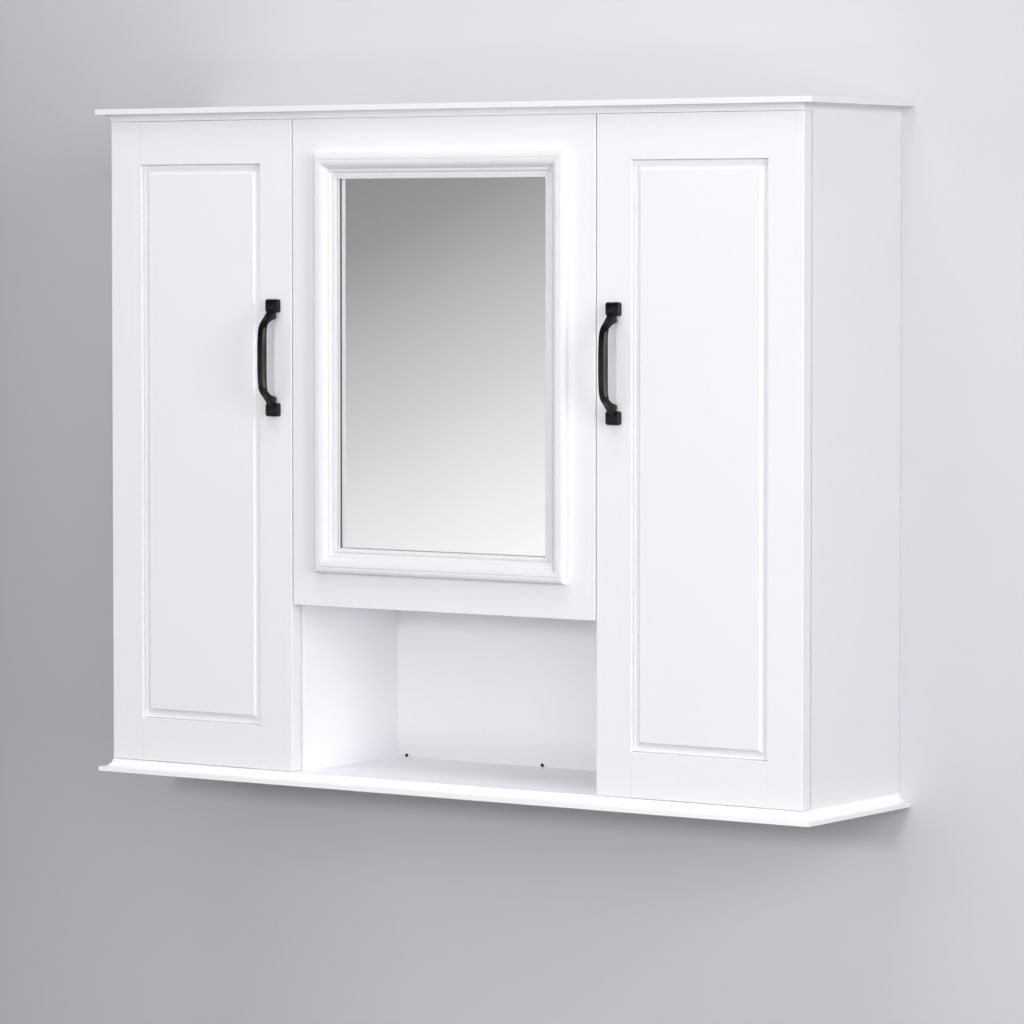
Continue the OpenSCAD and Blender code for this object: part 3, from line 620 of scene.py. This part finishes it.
tl, th = mmbox("mirror_moulding_top")
bl, bh = mmbox("mirror_moulding_bottom")
board_lo, board_hi = mmbox("mirror_door_board")
mw = th.x - tl.x
mh = th.z - bl.z
mx = (th.x + tl.x) / 2
mz = (th.z + bl.z) / 2
dy = board_lo.y
mitred("mirror_frame_top", "mirror_moulding_top", mw, "x", -1, (mx, dy, th.z))
mitred("mirror_frame_bottom", "mirror_moulding_bottom", mw, "x", 1, (mx, dy, bl.z))
mitred("mirror_frame_left", "mirror_moulding_left", mh, "z", 1, (tl.x, dy, mz))
mitred("mirror_frame_right", "mirror_moulding_right", mh, "z", -1, (th.x, dy, mz))


def mirror_plate():
    """Silvered glass: the reflecting plane lies a little behind the front edge of the plate."""
    lo, hi = mmbox("mirror_glass")
    cx, cz = (lo.x + hi.x) / 2, (lo.z + hi.z) / 2
    hx, hz = (hi.x - lo.x) / 2, (hi.z - lo.z) / 2
    sx, sz = mw / 2 - 24.0 + 0.35, mh / 2 - 24.0 + 0.35
    lv = [
        (hx, hz, 0.4, hi.y),
        (hx, hz, 0.4, lo.y + 0.05),
        (sx, sz, 0.4, lo.y + 0.05),
        (sx - 0.02, sz - 0.02, 0.4, lo.y + 1.2),
    ]
    v, f = loft(rings_xz(cx, cz, lv, 2))
    # Edges and recess walls take the dark rim colour: glass-edge tone plus painted shade for the dark line at the
    # frame's lip; the large front face takes the silvered mirror.
    o = piece("mirror_plate", v, f, "rim", "mirror_door", ["mirror_glass"])
    o.data.materials.append(M["mirror"])
    for p in o.data.polygons:
        p.use_smooth = False
        if p.normal.y < -0.9 and p.area > 0.02:
            p.material_index = 1
    return o


mirror_plate()

# ------------------------------------------------------------------ stage
def plane(name, pts, mat):
    me = bpy.data.meshes.new(name)
    me.from_pydata(pts, [], [(0, 1, 2, 3)])
    me.materials.append(mat)
    o = bpy.data.objects.new(name, me)
    col.objects.link(o)
    return o


def stage_material(name, stops, direction, scale, offset, rough=0.9):
    """Pale matt surface, open from behind so that the object is seen from every side."""
    m = bpy.data.materials.new(name)
    m.use_nodes = True
    nt = m.node_tree
    nt.nodes.clear()
    out = nt.nodes.new("ShaderNodeOutputMaterial")
    d = nt.nodes.new("ShaderNodeBsdfDiffuse")
    tr = nt.nodes.new("ShaderNodeBsdfTransparent")
    mix = nt.nodes.new("ShaderNodeMixShader")
    g = nt.nodes.new("ShaderNodeNewGeometry")
    nt.links.new(g.outputs["Backfacing"], mix.inputs[0])
    nt.links.new(d.outputs[0], mix.inputs[1])
    nt.links.new(tr.outputs[0], mix.inputs[2])
    nt.links.new(mix.outputs[0], out.inputs["Surface"])
    tc = nt.nodes.new("ShaderNodeTexCoord")
    dot = nt.nodes.new("ShaderNodeVectorMath")
    dot.operation = "DOT_PRODUCT"
    dot.inputs[1].default_value = direction
    nt.links.new(tc.outputs["Object"], dot.inputs[0])
    f = rng(nt, dot.outputs["Value"], 0.0, 1.0, offset, offset + scale)
    nt.links.new(ramp(nt, f, stops), d.inputs["Color"])
    return m


# Wall colour ramps from darker on the left to lighter towards the middle and right, and a little lighter upward:
# painted light falloff across the backdrop.
wall_shade_gradient_mat = stage_material("wall", [(0.0, (0.50, 0.509, 0.532)), (0.35, (0.665, 0.675, 0.70)), (0.6, (0.655, 0.665, 0.69)), (1.0, (0.615, 0.625, 0.645))], (1, 0, 0.15), 1.5, -0.75)
floor_mat = stage_material("floor", [(0.0, 0.66), (1.0, 0.70)], (1, 0, 0), 8, -4)
FLOOR_Z = -1.3
wall = plane("wall", [(-6, 0.0006, FLOOR_Z), (6, 0.0006, FLOOR_Z), (6, 0.0006, 4), (-6, 0.0006, 4)], wall_shade_gradient_mat)
floor = plane("floor", [(-9, -9, FLOOR_Z), (9, -9, FLOOR_Z), (9, 9, FLOOR_Z), (-9, 9, FLOOR_Z)], floor_mat)
for o in (wall,):
    o.visible_shadow = False
    o.visible_diffuse = False
    o.visible_glossy = False
    o.visible_transmission = False
floor.visible_shadow = False
floor.visible_diffuse = False


def reflector():
    """A soft gradient round the object that only gloss sees: grey above, white below."""
    R, n = 3.5, 96
    z0, z1 = FLOOR_Z, 3.2
    vs, fs = [], []
    for i in range(n):
        a = 2 * math.pi * i / n
        vs += [(R * math.sin(a), -R * math.cos(a), z0), (R * math.sin(a), -R * math.cos(a), z1)]
    for i in range(n):
        j = (i + 1) % n
        fs.append((2 * i, 2 * j, 2 * j + 1, 2 * i + 1))
    me = bpy.data.meshes.new("reflector")
    me.from_pydata(vs, [], fs)
    o = bpy.data.objects.new("reflector", me)
    col.objects.link(o)
    m = bpy.data.materials.new("reflector")
    m.use_nodes = True
    nt = m.node_tree
    nt.nodes.clear()
    out = nt.nodes.new("ShaderNodeOutputMaterial")
    em = nt.nodes.new("ShaderNodeEmission")
    nt.links.new(em.outputs[0], out.inputs["Surface"])
    tc = nt.nodes.new("ShaderNodeTexCoord")
    sep = nt.nodes.new("ShaderNodeSeparateXYZ")
    nt.links.new(tc.outputs["Object"], sep.inputs["Vector"])
    # angle from straight in front (-Y), positive towards +X
    ang = math_node(nt, "ARCTAN2", sep.outputs["X"], math_node(nt, "MULTIPLY", sep.outputs["Y"], -1.0))
    deg = math_node(nt, "MULTIPLY", ang, 180.0 / math.pi)
    side = rng(nt, deg, -0.10, 0.62, -38.2, -23.2)
    side = math_node(nt, "ADD", side, rng(nt, deg, 0.0, -0.45, -21.0, 5.0))
    down = math_node(nt, "MULTIPLY", math_node(nt, "SUBTRACT", 0.305, sep.outputs["Z"]), 1.0 / 0.62)
    f = math_node(nt, "ADD", down, side)
    stops = [(0.0, 118), (0.22, 140), (0.36, 152), (0.46, 172), (0.56, 191), (0.66, 205), (0.77, 222), (0.88, 236), (1.0, 249)]
    stops = [(p * 0.5333, v) for p, v in stops] + [(0.62, 246), (0.80, 200), (1.0, 160)]
    fac = rng(nt, f, 0.0, 1.0, -0.35, 2.65)
    grey = ramp(nt, fac, [(p, srgb(v) / 0.94) for p, v in stops])
    nt.links.new(grey, em.inputs["Color"])
    me.materials.append(m)
    o.visible_camera = False
    o.visible_diffuse = False
    o.visible_shadow = False
    o.visible_transmission = False
    o.visible_volume_scatter = False
    return o


reflector()


def area(name, loc, target, size, energy, colour=(1, 1, 1), glossy=True):
    l = bpy.data.lights.new(name, "AREA")
    l.shape = "RECTANGLE"
    l.size, l.size_y = size
    l.energy = energy
    l.color = colour
    o = bpy.data.objects.new(name, l)
    o.location = loc
    o.rotation_mode = "QUATERNION"
    o.rotation_quaternion = (Vector(target) - Vector(loc)).to_track_quat("-Z", "Y")
    col.objects.link(o)
    o.visible_glossy = glossy
    return o


def around(az, el, dist):
    """Place seen from the object: degrees to the right of straight ahead, degrees up, metres."""
    a, e = math.radians(az), math.radians(el)
    return (dist * math.sin(a) * math.cos(e), -0.17 - dist * math.cos(a) * math.cos(e), dist * math.sin(e))


MID = (0.0, -0.1, 0.0)
area("front_key", around(11, 7, 3.9), MID, (0.38, 0.38), 35.0, (1.0, 1.0, 1.0), False)
area("left_fill", around(-28, 10, 4.0), MID, (2.2, 2.2), 22.0, (1.0, 1.0, 1.0), False)
area("right_front", around(38, 12, 4.0), MID, (1.6, 1.6), 18.0, (1.0, 1.0, 1.0), False)
area("right_key", around(68, 8, 3.6), MID, (1.2, 2.4), 70.0, (1.0, 1.0, 1.0), False)
area("top", (0.2, -1.3, 2.8), MID, (1.5, 1.2), 33.0, (1.0, 1.0, 1.0), False)
area("low_fill", around(12, -12, 3.6), MID, (2.4, 0.4), 10.0, (1.0, 1.0, 1.0), False)
edge = area("edge_strip", around(90, 0, 3.2), MID, (0.9, 2.0), 26.0, (1.0, 1.0, 1.0))
edge.visible_diffuse = False
area("rear_fill", (0.8, 3.0, 1.4), (0, 0, 0), (2.2, 2.0), 60.0, (1.0, 1.0, 1.0), False)

w = bpy.data.worlds.new("studio")
w.use_nodes = True
wt = w.node_tree
bg = wt.nodes["Background"]
wc = wt.nodes.new("ShaderNodeTexCoord")
ws = wt.nodes.new("ShaderNodeSeparateXYZ")
wt.links.new(wc.outputs["Generated"], ws.inputs["Vector"])
wt.links.new(ramp(wt, rng(wt, ws.outputs["Z"], 0.0, 1.0, -0.6, 0.6), [(0.0, 0.15), (1.0, (0.195, 0.197, 0.203))]), bg.inputs["Color"])
bg.inputs["Strength"].default_value = 1.0
bpy.context.scene.world = w
bpy.context.scene.view_settings.view_transform = "Standard"
bpy.context.scene.view_settings.look = "None"

# ------------------------------------------------------------------ camera
cam = bpy.data.cameras.new("camera")
cam.sensor_width = 36.0
cam.lens = 169.087
cam.shift_x = 0.0
cam.shift_y = -0.06
cam.clip_start, cam.clip_end = 0.1, 60.0
co = bpy.data.objects.new("camera", cam)
AZ, PITCH = math.radians(34.2196), math.radians(2.5238)
co.location = (2.53789, -3.78662, 0.19499)
fw = Vector((-math.sin(AZ) * math.cos(PITCH), math.cos(AZ) * math.cos(PITCH), -math.sin(PITCH)))
co.rotation_mode = "QUATERNION"
co.rotation_quaternion = fw.to_track_quat("-Z", "Y")
col.objects.link(co)
bpy.context.scene.camera = co
